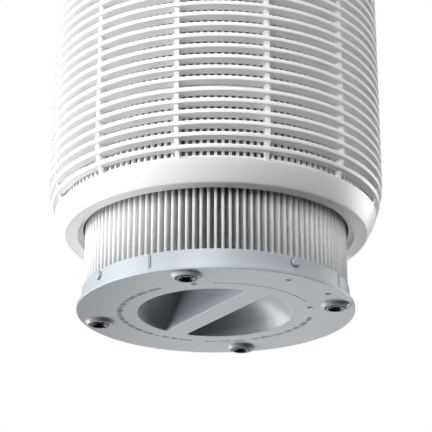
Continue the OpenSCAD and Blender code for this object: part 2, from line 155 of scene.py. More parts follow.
class Recipe:
    """A material under construction."""

    def __init__(self, name: str) -> None:
        """Starts an empty material with an output and a principled shader.

        Args:
            name: the material's name.
        """
        self.material = bpy.data.materials.new(name)
        self.material.use_nodes = True
        self.tree = self.material.node_tree
        self.tree.nodes.clear()
        self.output = self.tree.nodes.new("ShaderNodeOutputMaterial")
        self.shader = self.tree.nodes.new("ShaderNodeBsdfPrincipled")
        self.tree.links.new(self.shader.outputs[0], self.output.inputs["Surface"])

    def node(self, kind: str, settings: Optional[dict] = None, inputs: Optional[dict] = None,
             output: Union[int, str] = 0) -> Signal:
        """Adds one node.

        Args:
            kind: the node's type.
            settings: its properties.
            inputs: values or signals by socket name or number.
            output: which output to hand back.

        Returns:
            The chosen output.
        """
        made = self.tree.nodes.new(kind)
        for key, value in (settings or {}).items():
            setattr(made, key, value)
        for key, value in (inputs or {}).items():
            self.plug(made.inputs[key], value)
        return Signal(self, made.outputs[output])

    def plug(self, socket: Any, value: Any) -> None:
        """Links a signal to a socket, or sets the socket's own value."""
        if isinstance(value, Signal):
            self.tree.links.new(value.socket, socket)
        else:
            socket.default_value = value

    def set(self, **values: Any) -> None:
        """Sets the principled shader's sockets; underscores stand for spaces."""
        for key, value in values.items():
            self.plug(self.shader.inputs[key.replace("_", " ")], value)

    def place(self) -> Signal:
        """Object coordinates."""
        return self.node("ShaderNodeTexCoord", output="Object")

    def axes(self, vector: Signal) -> tuple:
        """The x, y and z of a vector."""
        made = self.tree.nodes.new("ShaderNodeSeparateXYZ")
        self.plug(made.inputs[0], vector)
        return tuple(Signal(self, made.outputs[i]) for i in range(3))

    def noise(self, vector: Signal, scale: Number, detail: Number = 2.0, rough: Number = 0.5) -> Signal:
        """A noise field from 0 to 1."""
        return self.node("ShaderNodeTexNoise", {}, {"Vector": vector, "Scale": scale, "Detail": detail,
                                                    "Roughness": rough})

    def stretched(self, vector: Signal, scale: Sequence[Number]) -> Signal:
        """A vector scaled along its axes."""
        return self.node("ShaderNodeMapping", {}, {"Vector": vector, "Scale": tuple(scale)})

    def blend(self, factor: Any, first: Any, second: Any) -> Signal:
        """A colour between first, at 0, and second, at 1."""
        made = self.tree.nodes.new("ShaderNodeMix")
        made.data_type = "RGBA"
        self.plug(made.inputs[0], factor)
        self.plug(made.inputs[6], first)
        self.plug(made.inputs[7], second)
        return Signal(self, made.outputs[2])

    def bump(self, height: Signal, strength: Number, distance: Number) -> Signal:
        """A normal bent by a height field."""
        return self.node("ShaderNodeBump", {}, {"Height": height, "Strength": strength, "Distance": distance})

    def cells(self, vector: Signal, scale: Number) -> Signal:
        """The distance to the nearest of the points scattered through space."""
        return self.node("ShaderNodeTexVoronoi", {"feature": "F1"}, {"Vector": vector, "Scale": scale})


Colour = tuple


def shade(colour: Colour, factor: float) -> Colour:
    """A colour made lighter or darker by a factor, with its alpha."""
    return tuple(min(1.0, c * factor) for c in colour[:3]) + (1.0,)


@dataclass(frozen=True)
class Paint:
    """A finish with a name and a colour; each kind sets the shader in its own way."""

    name: str
    colour: Colour

    def build(self) -> bpy.types.Material:
        """Makes the material."""
        recipe = Recipe(self.name)
        self.paint(recipe, recipe.place())
        return recipe.material


@dataclass(frozen=True)
class MouldedPlastic(Paint):
    """Injection-moulded plastic with a fine spark-eroded texture and faint flow marks."""

    rough: float = 0.42
    grain: float = 0.05
    grain_scale: float = 2600.0
    spread: float = 0.04
    coat: float = 0.0
    glow: float = 0.0

    def paint(self, recipe: Recipe, place: Signal) -> None:
        """Sets the shader."""
        flow = recipe.noise(recipe.stretched(place, (14, 14, 5)), 1.0, 3.0, 0.55)
        handled = recipe.noise(place, 42.0, 4.0, 0.6)
        fine = recipe.noise(place, self.grain_scale, 2.0, 0.6)
        tint = recipe.blend((flow * 0.7 + handled * 0.3).clamped(), shade(self.colour, 1.0 - self.spread),
                            shade(self.colour, 1.0 + self.spread * 0.6))
        recipe.set(Base_Color=tint, Roughness=(self.rough - 0.07 + handled * 0.14),
                   Normal=recipe.bump(fine, self.grain, 0.0002), Specular_IOR_Level=0.42)
        if self.coat:
            recipe.set(Coat_Weight=self.coat, Coat_Roughness=0.08)
        if self.glow:
            recipe.set(Emission_Color=tint, Emission_Strength=self.glow)


@dataclass(frozen=True)
class BareMetal(Paint):
    """Turned or plated metal with a fine lay and light handling marks."""

    rough: float = 0.3
    lay: tuple = (60, 60, 2400)

    def paint(self, recipe: Recipe, place: Signal) -> None:
        """Sets the shader."""
        lines = recipe.noise(recipe.stretched(place, self.lay), 1.0, 2.0, 0.6)
        marks = recipe.noise(place, 180.0, 4.0, 0.6)
        tone = recipe.blend(marks, shade(self.colour, 0.82), shade(self.colour, 1.08))
        recipe.set(Base_Color=tone, Metallic=1.0, Roughness=(self.rough - 0.08 + lines * 0.1 + marks * 0.08),
                   Normal=recipe.bump(lines, 0.12, 0.0002))


@dataclass(frozen=True)
class FilterPaper(Paint):
    """Glass-fibre filter paper: soft and matt, with felted fibres and painted shade that darkens it down into
    the folds, crossed by crimp lines.
    """

    valley_r: float
    tip_r: float
    crimp: float = 0.00088

    def paint(self, recipe: Recipe, place: Signal) -> None:
        """Sets the shader."""
        x, y, z = recipe.axes(place)
        radius = (x * x + y * y).power(0.5)
        # Painted shade: depth runs from 0 down in the folds to 1 at the crests and sets how dark the paper is
        # painted.
        depth = ((radius - self.valley_r) / (self.tip_r - self.valley_r)).clamped().power(4.0)
        fibres = recipe.noise(recipe.stretched(place, (700, 700, 240)), 1.0, 4.0, 0.65)
        felt = recipe.noise(place, 3800.0, 2.0, 0.6)
        crimp = (z + 1.0).wave(self.crimp) < 0.36
        # Painted shade in the folds: 0.3 of the paper's colour, or 0.5 in the crimp stripes, rising to
        # slightly brighter than the paper at the crests.
        valley = recipe.blend(crimp, shade(self.colour, 0.3), shade(self.colour, 0.5))
        tone = recipe.blend(depth, valley, shade(self.colour, 1.02))
        recipe.set(Base_Color=recipe.blend(fibres * 0.12, tone, shade(self.colour, 0.8)),
                   Roughness=(0.82 + felt * 0.14), Normal=recipe.bump(fibres + felt, 0.35, 0.0003),
                   Specular_IOR_Level=0.2)


@dataclass(frozen=True)
class OpenNet(Paint):
    """Woven net: threads along and round the cylinder, open between them or filled with a dark colour that is
    painted shade for the unlit inside behind it.
    """

    pitch_z: float
    count: int
    thread: float = 0.42
    thread_round: float = 0.3
    rough: float = 0.6
    # Share of the open part filled with painted shade, a dark colour standing in for the unlit inside behind
    # the net.
    shade_fill: float = 0.0
    shade_fill_colour: Colour = (0.1, 0.1, 0.105, 1)

    def paint(self, recipe: Recipe, place: Signal) -> None:
        """Sets the shader."""
        x, y, z = recipe.axes(place)
        turn = y.turn_from(x)
        across = (z + 1.0).wave(self.pitch_z)
        upright = (turn + 2 * math.pi).wave(2 * math.pi / self.count)
        rows = across < self.thread
        columns = upright < self.thread_round
        threads = rows.larger(columns)
        fuzz = recipe.noise(place, 5200.0, 2.0, 0.6)
        round_thread = (1.0 - across * (1.0 / self.thread)).clamped().larger(
            (1.0 - upright * (1.0 / self.thread_round)).clamped())
        tone = recipe.blend(fuzz, shade(self.colour, 0.88), shade(self.colour, 1.02))
        # Where the open part is filled, it takes the dark painted-shade colour and is made opaque.
        recipe.set(Base_Color=recipe.blend(threads, self.shade_fill_colour, tone) if self.shade_fill else tone,
                   Roughness=(self.rough - 0.05 + fuzz * 0.1),
                   Alpha=threads.larger(self.shade_fill) if self.shade_fill else threads,
                   Normal=recipe.bump(round_thread, 0.4, 0.0002))


@dataclass(frozen=True)
class SoftRubber(Paint):
    """Matt rubber or foam with a dusty bloom and small pores."""

    pore_scale: float = 1500.0
    pore_depth: float = 0.3
    rough: float = 0.78

    def paint(self, recipe: Recipe, place: Signal) -> None:
        """Sets the shader."""
        bloom = recipe.noise(place, 95.0, 4.0, 0.6)
        pores = recipe.cells(place, self.pore_scale)
        recipe.set(Base_Color=recipe.blend(bloom, shade(self.colour, 0.75), shade(self.colour, 1.6)),
                   Roughness=(self.rough - 0.08 + bloom * 0.16), Specular_IOR_Level=0.3,
                   Normal=recipe.bump(pores, self.pore_depth, 0.0003))


@dataclass(frozen=True)
class CircuitBoard(Paint):
    """Solder resist over copper tracks, with bare pads."""

    def paint(self, recipe: Recipe, place: Signal) -> None:
        """Sets the shader."""
        cells = recipe.node("ShaderNodeTexVoronoi", {"feature": "F1", "distance": "MANHATTAN"},
                            {"Vector": place, "Scale": 210.0, "Randomness": 0.6}, output="Color")
        tracks = recipe.noise(recipe.stretched(place, (900, 60, 60)), 1.0, 1.0, 0.3) > 0.52
        pads = recipe.cells(place, 260.0) < 0.17
        resist = recipe.blend(tracks, shade(self.colour, 0.8), shade(self.colour, 1.35))
        toned = recipe.blend(0.12, resist, cells)
        recipe.set(Base_Color=recipe.blend(pads, toned, (0.72, 0.66, 0.5, 1)), Metallic=pads * 0.9,
                   Roughness=(0.34 - pads * 0.06), Normal=recipe.bump(tracks, 0.3, 0.0002))


class Finish(Enum):
    """Every finish on the appliance, by the record's slot."""

    SHELL = "shell_white"
    SCREEN = "screen_white"
    INNER = "inner_plastic"
    DARK = "dark_plastic"
    FAN = "fan_plastic"
    STEEL = "steel"
    STATOR = "stator"
    CONTACT = "contact"
    BOARD = "board"
    LENS = "lens"
    LIGHT = "light"
    KEY = "key_face"
    PAPER = "paper"
    NET = "net"
    CARBON = "carbon"
    GASKET = "gasket"
    COVER = "cover_grey"
    PAD = "pad_rubber"


class Paints:
    """Builds each finish once and hands out the same material after that."""

    def __init__(self) -> None:
        """Lists the finish behind each slot."""
        self.recipes = {
            Finish.SHELL: MouldedPlastic("white_shell", (0.93, 0.935, 0.94, 1), rough=0.38, grain=0.04),
            Finish.SCREEN: MouldedPlastic("white_screen", (0.92, 0.925, 0.93, 1), rough=0.5, spread=0.05),
            Finish.INNER: MouldedPlastic("inner_grey", (0.78, 0.79, 0.8, 1), rough=0.5, spread=0.06),
            Finish.DARK: MouldedPlastic("black_moulding", (0.035, 0.035, 0.04, 1), rough=0.55, spread=0.2),
            Finish.FAN: MouldedPlastic("fan_grey", (0.07, 0.075, 0.08, 1), rough=0.4, spread=0.15),
            Finish.STEEL: BareMetal("zinc_steel", (0.66, 0.66, 0.67, 1)),
            Finish.STATOR: BareMetal("copper_winding", (0.72, 0.36, 0.2, 1), rough=0.36, lay=(900, 900, 900)),
            Finish.CONTACT: BareMetal("plated_pin", (0.86, 0.68, 0.36, 1), rough=0.22),
            Finish.BOARD: CircuitBoard("circuit_board", (0.02, 0.16, 0.07, 1)),
            Finish.LENS: MouldedPlastic("black_lens", (0.012, 0.012, 0.014, 1), rough=0.12, grain=0.01,
                                        spread=0.2, coat=1.0),
            Finish.LIGHT: MouldedPlastic("frosted_light", (0.72, 0.86, 0.95, 1), rough=0.35, glow=0.35),
            Finish.KEY: MouldedPlastic("key_face", (0.66, 0.67, 0.68, 1), rough=0.26, grain=0.02),
            Finish.PAPER: FilterPaper("filter_paper", (0.93, 0.94, 0.945, 1), 0.0583, 0.0853),
            Finish.NET: OpenNet("cartridge_net", (0.93, 0.935, 0.94, 1), 0.00088, 720, thread=0.07,
                                thread_round=0.01),
            Finish.CARBON: SoftRubber("carbon_fleece", (0.02, 0.02, 0.022, 1), pore_scale=700,
                                      pore_depth=0.8),
            Finish.GASKET: SoftRubber("foam_seal", (0.045, 0.045, 0.05, 1), pore_scale=1300, pore_depth=0.6),
            Finish.COVER: MouldedPlastic("cover_grey", (0.475, 0.517, 0.555, 1), rough=0.34, spread=0.035),
            Finish.PAD: SoftRubber("pad_rubber", (0.035, 0.036, 0.038, 1), pore_depth=0.05, rough=0.26),
        }
        self.made: dict = {}

    def get(self, finish: Any) -> bpy.types.Material:
        """The material of a slot, or of a finish given outright."""
        recipe = self.recipes[finish] if isinstance(finish, Finish) else finish
        if recipe.name not in self.made:
            self.made[recipe.name] = recipe.build()
        return self.made[recipe.name]


# ---- modelling toolkit


def turn_about_column(degrees: float) -> Matrix:
    """A turn about the column, from the front towards +X."""
    return Matrix.Rotation(FRONT + math.radians(degrees), 4, "Z")


def only(kind: type, geom: Iterable) -> list:
    """The items of one kind among those that a step hands back."""
    return [item for item in geom if isinstance(item, kind)]


def bevel(mesh: BMesh, geom: list, width: float, segments: int, affect: str = "EDGES",
          clamp: bool = True) -> None:
    """Rounds edges, or corners where affect says VERTICES; clamp stops neighbours from crossing."""
    bmesh.ops.bevel(mesh, geom=geom, offset=width, offset_type="OFFSET", affect=affect, segments=segments,
                    profile=0.5, material=-1, clamp_overlap=clamp)


class Outline:
    """A pen that draws a half section in the XZ plane, in millimetres, ready to be spun."""

    def __init__(self, radius: float, height: float) -> None:
        """Puts the pen down.

        Args:
            radius: distance from the column's middle.
            height: height in the piece's own frame.
        """
        self.mesh = bmesh.new()
        self.start = self.tip = self.mesh.verts.new((radius, 0.0, height))
        self.soft: list = []

    def line(self, radius: float, height: float, soft: float = 0.0) -> "Outline":
        """Draws a straight line; soft rounds the corner at its end."""
        vert = self.mesh.verts.new((radius, 0.0, height))
        self.mesh.edges.new((self.tip, vert))
        self.tip = vert
        if soft:
            self.soft.append((vert, soft))
        return self

    def arc(self, radius: float, height: float, degrees: float, steps: int) -> "Outline":
        """Swings the pen about a centre, by degrees anticlockwise in the half section."""
        turned = bmesh.ops.spin(self.mesh, geom=[self.tip], cent=(radius, 0.0, height), axis=(0.0, -1.0, 0.0),
                                angle=math.radians(degrees), steps=steps, use_duplicate=False)
        self.tip = only(BMVert, turned["geom_last"])[0]
        return self

    def close(self, soft: float = 0.0) -> "Outline":
        """Joins the pen to where it started."""
        self.mesh.edges.new((self.tip, self.start))
        if soft:
            self.soft.append((self.start, soft))
        return self

    def spun(self, steps: int, segments: int = 3) -> BMesh:
        """Rounds the soft corners and spins the section about the column.

        Args:
            steps: how many steps the whole turn takes.
            segments: how many faces round a soft corner.

        Returns:
            The mesh, in millimetres.
        """
        for vert, width in self.soft:
            bevel(self.mesh, [vert], width, segments, "VERTICES")
        bmesh.ops.spin(self.mesh, geom=self.mesh.verts[:] + self.mesh.edges[:], cent=(0, 0, 0),
                       axis=(0, 0, 1), angle=math.radians(360.0), steps=steps, use_merge=True,
                       use_duplicate=False)
        weld(self.mesh)
        return self.mesh


def weld(mesh: BMesh, gap: float = 1e-4) -> BMesh:
    """Merges doubled points and turns the faces outwards."""
    bmesh.ops.remove_doubles(mesh, verts=mesh.verts, dist=gap)
    bmesh.ops.recalc_face_normals(mesh, faces=mesh.faces)
    return mesh


def soften(mesh: BMesh, width: float, segments: int = 2, angle: float = 35.0) -> BMesh:
    """Rounds the sharp edges of a mesh.

    Args:
        mesh: the mesh.
        width: width of the rounding.
        segments: faces across it.
        angle: edges sharper than this are rounded.

    Returns:
        The same mesh.
    """
    limit = math.radians(angle)
    edges = [e for e in mesh.edges if len(e.link_faces) == 2 and e.calc_face_angle(0.0) > limit]
    bevel(mesh, edges, width, segments)
    return mesh


def block(size: Sequence[float], centre: Sequence[float], width: float = 0.0, segments: int = 2) -> BMesh:
    """A box with softened edges."""
    mesh = bmesh.new()
    bmesh.ops.create_cube(mesh, size=1.0, matrix=Matrix.Translation(centre) @ Matrix.Diagonal((*size, 1.0)))
    if width:
        soften(mesh, width, segments)
    return mesh


def add_copy(target: BMesh, source: BMesh, place: Matrix = Matrix()) -> None:
    """Copies one mesh into another at a place."""
    data = bpy.data.meshes.new("carry")
    source.to_mesh(data)
    data.transform(place)
    if place.determinant() < 0:
        data.flip_normals()
    target.from_mesh(data)
    bpy.data.meshes.remove(data)


def lathe_row(target: BMesh, source: BMesh, count: int, first: float = 0.0) -> None:
    """Sets copies of a mesh, drawn along +X, evenly round the column."""
    for k in range(count):
        add_copy(target, source, turn_about_column(first + k * (360.0 / count)))


class Workshop:
    """Turns finished meshes into pieces that ride on a body."""

    def __init__(self, paints: Paints) -> None:
        """Keeps the finishes."""
        self.paints = paints

    def piece(self, name: str, mesh: BMesh, body: Body, slot: Finish, lift: float = 0.0,
              replaces: Sequence[str] = (), finish: Any = None, smooth: float = 40.0,
              weighted: bool = True) -> bpy.types.Object:
        """Makes one piece.

        Args:
            name: the piece's name.
            mesh: its mesh, in millimetres.
            body: what it rides on.
            slot: the record's slot it takes its finish from.
            lift: height of the mesh's own zero above the floor, in millimetres.
            replaces: CAD nodes it stands for.
            finish: a finish other than the slot's own.
            smooth: edges sharper than this stay sharp.
            weighted: whether large faces shade flat beside the small ones of a rounding.

        Returns:
            The object.
        """
        place = Matrix.Scale(MM, 4) @ Matrix.Translation((0, 0, lift))
        bmesh.ops.transform(mesh, matrix=place, verts=mesh.verts)
        data = bpy.data.meshes.new(name)
        mesh.to_mesh(data)
        mesh.free()
        data.shade_smooth()
        data.set_sharp_from_angle(angle=math.radians(smooth))
        data.materials.append(self.paints.get(finish or slot))
        made = bpy.data.objects.new(name, data)
        bpy.context.scene.collection.objects.link(made)
        if weighted:
            modifier = made.modifiers.new("flat_faces", "WEIGHTED_NORMAL")
            modifier.keep_sharp = True
            modifier.weight = 80
        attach(made, body.value)
        if replaces:
            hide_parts(*replaces)
        log.info("%s: %d faces on %s", name, len(data.polygons), body.value)
        return made

    def dress(self, frame: dict, node: str, slot: Finish) -> None:
        """Gives a CAD node its finish."""
        data = frame["nodes"][node].data
        data.materials.clear()
        data.materials.append(self.paints.get(slot))
        log.info("%s: finish %s", node, slot.value)


# ---- the housing


@dataclass
class IntakeHousing:
    """The lower housing: rounded foot, slats and upright ribs."""

    shop: Workshop
    lift: float
    body_r: float = 110.0
    curve_r: float = 68.0
    curve_h: float = 37.5
    mouth_r: float = 90.3
    slot_count: int = 26
    pitch: float = 7.34
    slot_h: float = 4.7
    first_slot: float = 14.2
    low_extra: float = 0.9
    slat_in_r: float = 102.5
    top: float = 206.0
    rib_count: int = 12
    rib_turn: float = 17.2
    rib_w: float = 3.0
    rib_back: float = 2.0
    steps: int = 192

    def outer(self, height: float) -> float:
        """Radius of the outside at a height above the housing's bottom."""
        if height >= self.curve_h:
            return self.body_r
        return self.body_r - self.curve_r + math.sqrt(self.curve_r ** 2 - (self.curve_h - height) ** 2)

    def curve_angle(self, height: float) -> float:
        """Angle below the horizontal at which the foot's curve reaches a height, in degrees."""
        return math.degrees(math.asin((self.curve_h - height) / self.curve_r))

    def foot(self) -> BMesh:
        """The rounded foot below the lowest slot, with the mouth for the cover."""
        pen = Outline(self.mouth_r, 0.0)
        pen.line(self.outer(0.0), 0.0, soft=0.7)
        brim = self.first_slot - self.low_extra
        swing = self.curve_angle(0.0) - self.curve_angle(brim)
        pen.arc(self.body_r - self.curve_r, self.curve_h, swing, 12)
        pen.soft.append((pen.tip, 0.45))
        pen.line(self.slat_in_r, brim).line(self.slat_in_r, 9.1).line(97.0, 9.1).line(97.0, 3.0)
        pen.line(self.mouth_r, 3.0, soft=0.3).close(soft=0.6)
        return pen.spun(self.steps)

    def slat(self, low: float, high: float) -> BMesh:
        """One slat between two heights."""
        pen = Outline(self.slat_in_r, low)
        pen.line(self.outer(low), low, soft=0.5).line(self.outer(high), high, soft=0.5)
        return pen.line(self.slat_in_r, high).close().spun(self.steps)

    def rib(self) -> BMesh:
        """One upright rib, set back behind the slats' front edges."""
        back = self.rib_back
        low = self.first_slot - self.low_extra - 1.0
        mesh = bmesh.new()
        corner = mesh.verts.new((self.slat_in_r - 0.3, 0.0, low))
        front = mesh.verts.new((self.outer(low) - back, 0.0, low))
        middle = (self.body_r - self.curve_r - back, 0.0, self.curve_h)
        swing = bmesh.ops.spin(mesh, geom=[front], cent=middle, axis=(0, -1, 0), steps=10,
                               angle=math.radians(self.curve_angle(low)))
        bend = only(BMVert, swing["geom_last"])[0]
        bend.co = Vector((self.body_r - back, 0.0, self.curve_h))
        top_front = mesh.verts.new((self.body_r - back, 0.0, self.top - 1.0))
        top_back = mesh.verts.new((self.slat_in_r - 0.3, 0.0, self.top - 1.0))
        for pair in ((bend, top_front), (top_front, top_back), (top_back, corner), (corner, front)):
            mesh.edges.new(pair)
        face = bmesh.ops.contextual_create(mesh, geom=mesh.edges[:])["faces"]
        grown = bmesh.ops.extrude_face_region(mesh, geom=face)
        bmesh.ops.translate(mesh, verts=only(BMVert, grown["geom"]), vec=(0, self.rib_w, 0))
        bmesh.ops.translate(mesh, verts=mesh.verts[:], vec=(0, -self.rib_w / 2, 0))
        bmesh.ops.recalc_face_normals(mesh, faces=mesh.faces)
        return soften(mesh, 0.35, 2, angle=60.0)

    def build(self) -> None:
        """Makes the foot, the slats with the closing band, and the ribs."""
        self.shop.piece("housing_foot", self.foot(), Body.HOUSING, Finish.SHELL, self.lift, ["intake_shell"])
        slats = bmesh.new()
        for k in range(self.slot_count - 1):
            low = self.first_slot + k * self.pitch + self.slot_h
            add_copy(slats, self.slat(low, low + self.pitch - self.slot_h))
        self.shop.piece("intake_slats", slats, Body.HOUSING, Finish.SHELL, self.lift, weighted=False)
        low = self.first_slot + (self.slot_count - 1) * self.pitch + self.slot_h
        self.shop.piece("intake_band", self.slat(low, self.top), Body.HOUSING, Finish.SHELL, self.lift)
        ribs = bmesh.new()
        lathe_row(ribs, self.rib(), self.rib_count, self.rib_turn)
        self.shop.piece("intake_ribs", ribs, Body.HOUSING, Finish.SHELL, self.lift)


@dataclass
class PrefilterScreen:
    """The screen behind the slats: upright bars, hoops and a fine net."""

    shop: Workshop
    lift: float
    inner: float = 98.6
    outer: float = 101.4
    low: float = 15.1
    high: float = 204.2
    bars: int = 144
    bar_w: float = 1.9
    hoops: int = 5
    hoop_h: float = 1.5

    def build(self) -> None:
        """Makes the bars with their hoops, and the net with painted shade filling most of its open cells."""
        height = self.high - self.low
        middle = (self.low + self.high) / 2
        bars = bmesh.new()
        centre = ((self.inner + self.outer) / 2, 0, middle)
        bar = block((self.outer - self.inner, self.bar_w, height), centre, 0.25, 1)
        lathe_row(bars, bar, self.bars)
        for k in range(self.hoops):
            base = self.low + k * (height - self.hoop_h) / (self.hoops - 1)
            pen = Outline(self.inner - 0.1, base).line(self.outer + 0.1, base, soft=0.3)
            crest = base + self.hoop_h
            pen.line(self.outer + 0.1, crest, soft=0.3).line(self.inner - 0.1, crest).close()
            add_copy(bars, pen.spun(self.bars, 2))
        self.shop.piece("screen_bars", bars, Body.HOUSING, Finish.SCREEN, self.lift, ["prefilter_screen"],
                        weighted=False)
        net = Outline(self.inner + 0.35, self.low).line(self.inner + 0.35, self.high).spun(self.bars)
        # Painted shade: 85% of the net's open cells are filled with near-black in place of the dark inside
        # seen through the slots.
        finish = OpenNet("screen_net_and_shade", (0.5, 0.5, 0.51, 1), 0.0016, 2 * self.bars, thread=0.13,
                         thread_round=0.1, shade_fill=0.85, shade_fill_colour=(0.03, 0.03, 0.033, 1))
        self.shop.piece("screen_net_and_shade", net, Body.HOUSING, Finish.SCREEN, self.lift, finish=finish,
                        weighted=False)


# ---- the filter cartridge


@dataclass
class FilterCartridge:
    """The pleated paper and the net round it."""

    shop: Workshop
    lift: float
    low: float = 13.8
    height: float = 179.2
    tip_r: float = 85.3
    depth: float = 27.0
    count: int = 120
    tip_share: float = 0.4
    sheet_t: float = 0.45
    rows: int = 6
    seed: int = 11

    def pleats(self) -> BMesh:
        """The folded sheet, one fold drawn and spun round, each fold a little unlike the next."""
        mesh = bmesh.new()
        half = math.pi / self.count
        valley = self.tip_r - self.depth
        crown = ((-1.0, 1.1), (-0.96, 0.5), (-0.8, 0.16), (-0.4, 0.0),
                 (0.4, 0.0), (0.8, 0.16), (0.96, 0.5), (1.0, 1.1))
        course = ([(-1.0, valley), (-0.76, valley + 1.2)]
                  + [(self.tip_share * share, self.tip_r - drop) for share, drop in crown]
                  + [(0.76, valley + 1.2), (1.0, valley)])
        last = None
        for share, radius in course:
            vert = mesh.verts.new((radius * math.cos(share * half), radius * math.sin(share * half), 0.0))
            if last:
                mesh.edges.new((last, vert))
            last = vert
        copies = self.count - 1
        bmesh.ops.spin(mesh, geom=mesh.verts[:] + mesh.edges[:], cent=(0, 0, 0), axis=(0, 0, 1),
                       angle=2 * math.pi * copies / self.count, steps=copies, use_duplicate=True)
        bmesh.ops.remove_doubles(mesh, verts=mesh.verts, dist=0.01)
        chance = random.Random(self.seed)
        drift = [chance.uniform(-0.0004, 0.0004) for _ in range(self.count)]
        for vert in mesh.verts:
            turn = math.atan2(vert.co.y, vert.co.x)
            reach = (vert.co.xy.length - valley) / self.depth
            k = round(turn / (2 * half)) % self.count
            vert.co = Matrix.Rotation(drift[k] * reach, 3, "Z") @ vert.co
        rise = self.height / self.rows
        edges = mesh.edges[:]
        for _ in range(self.rows):
            grown = bmesh.ops.extrude_edge_only(mesh, edges=edges)["geom"]
            bmesh.ops.translate(mesh, verts=only(BMVert, grown), vec=(0, 0, rise))
            edges = only(BMEdge, grown)
        bmesh.ops.recalc_face_normals(mesh, faces=mesh.faces)
        if sum(f.normal.dot(Vector((*f.calc_center_median().xy, 0.0))) for f in mesh.faces
               if f.calc_center_median().xy.length > self.tip_r - 0.1) < 0:
            bmesh.ops.reverse_faces(mesh, faces=mesh.faces)
        return mesh

    def build(self) -> None:
        """Makes the paper and the net."""
        paper = self.shop.piece("filter_pleats", self.pleats(), Body.CARTRIDGE, Finish.PAPER,
                                self.lift + self.low, ["filter_media"], smooth=60.0, weighted=False)
        sheet = paper.modifiers.new("paper", "SOLIDIFY")
        sheet.thickness = self.sheet_t * MM
        sheet.offset = -1.0
        top = self.low + self.height
        net = Outline(self.tip_r + 0.3, self.low).line(self.tip_r + 0.3, top).spun(180)
        self.shop.piece("cartridge_net", net, Body.CARTRIDGE, Finish.NET, self.lift, ["filter_net"],
                        weighted=False)


# ---- the base cover


